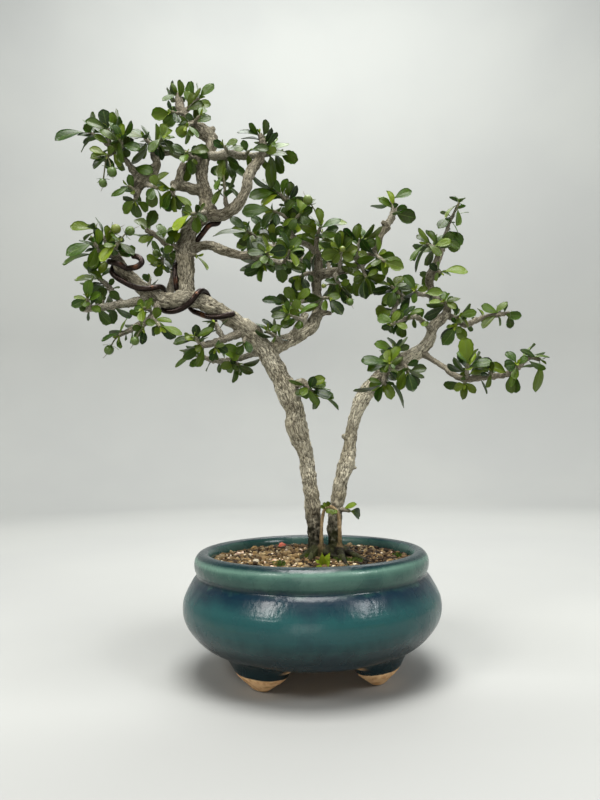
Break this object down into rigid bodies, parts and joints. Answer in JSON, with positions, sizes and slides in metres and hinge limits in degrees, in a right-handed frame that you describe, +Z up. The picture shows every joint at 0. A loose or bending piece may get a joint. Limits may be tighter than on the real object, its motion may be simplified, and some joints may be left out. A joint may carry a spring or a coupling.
{
  "type": "potted bonsai tree",
  "caption": "Fukien tea bonsai with twin trunks, small blunt leaves and berries, trained with wire and planted in a round glazed pot on small feet.",
  "frame": {"origin": "middle of the whole plant's footprint, on the surface that the pot's feet stand on", "axes": "+Z up, -Y towards the front of the tree, +X to the right of someone who looks at its front"},
  "size_m": [0.3068, 0.1588, 0.3835],
  "materials": {
    "glaze": "gloss teal glaze with bare buff clay under the feet",
    "soil": "loose gravel and clay granules",
    "screen": "black plastic mesh",
    "bark": "pale fissured bark",
    "leaf": "living leaves on woody twigs, dark green with a low gloss",
    "wire": "brown anodised"
  },
  "bodies": {
    "root": {"pot": "glaze", "soil": "soil", "drain_screen": "screen", "tree": "bark", "limb_wire": "wire", "leader_wire": "wire", "spray_arm_first": "leaf", "spray_arm_low": "leaf", "spray_arm_second": "leaf", "spray_arm_third": "leaf", "spray_arm_under": "leaf", "spray_back_left": "leaf", "spray_back_middle": "leaf", "spray_base": "leaf", "spray_brown_shoot": "leaf", "spray_crown": "leaf", "spray_down_left": "leaf", "spray_far_left": "leaf", "spray_fork_shoot": "leaf", "spray_fork_tip": "leaf", "spray_high_left": "leaf", "spray_inner": "leaf", "spray_knot_hanging": "leaf", "spray_knot_right": "leaf", "spray_leader_fresh": "leaf", "spray_leader_high": "leaf", "spray_leader_side": "leaf", "spray_leader_stub": "leaf", "spray_leader_thorn": "leaf", "spray_limb_front": "leaf", "spray_limb_left": "leaf", "spray_limb_right": "leaf", "spray_limb_start": "leaf", "spray_limb_tip": "leaf", "spray_limb_top": "leaf", "spray_low_left": "leaf", "spray_lower_left": "leaf", "spray_middle_arm": "leaf", "spray_right_arm_tip": "leaf", "spray_right_bend": "leaf", "spray_right_cross": "leaf", "spray_right_inner": "leaf", "spray_right_leader_back": "leaf", "spray_right_leader_side": "leaf", "spray_right_leader_tip": "leaf", "spray_right_low": "leaf", "spray_right_middle": "leaf", "spray_shoulder_left": "leaf", "spray_shoulder_right": "leaf", "spray_shoulder_top": "leaf", "spray_stub_side": "leaf", "spray_top_middle": "leaf", "spray_top_right": "leaf", "spray_trunk_side": "leaf", "spray_underneath": "leaf", "spray_underneath_small": "leaf"}
  },
  "joints": []
}
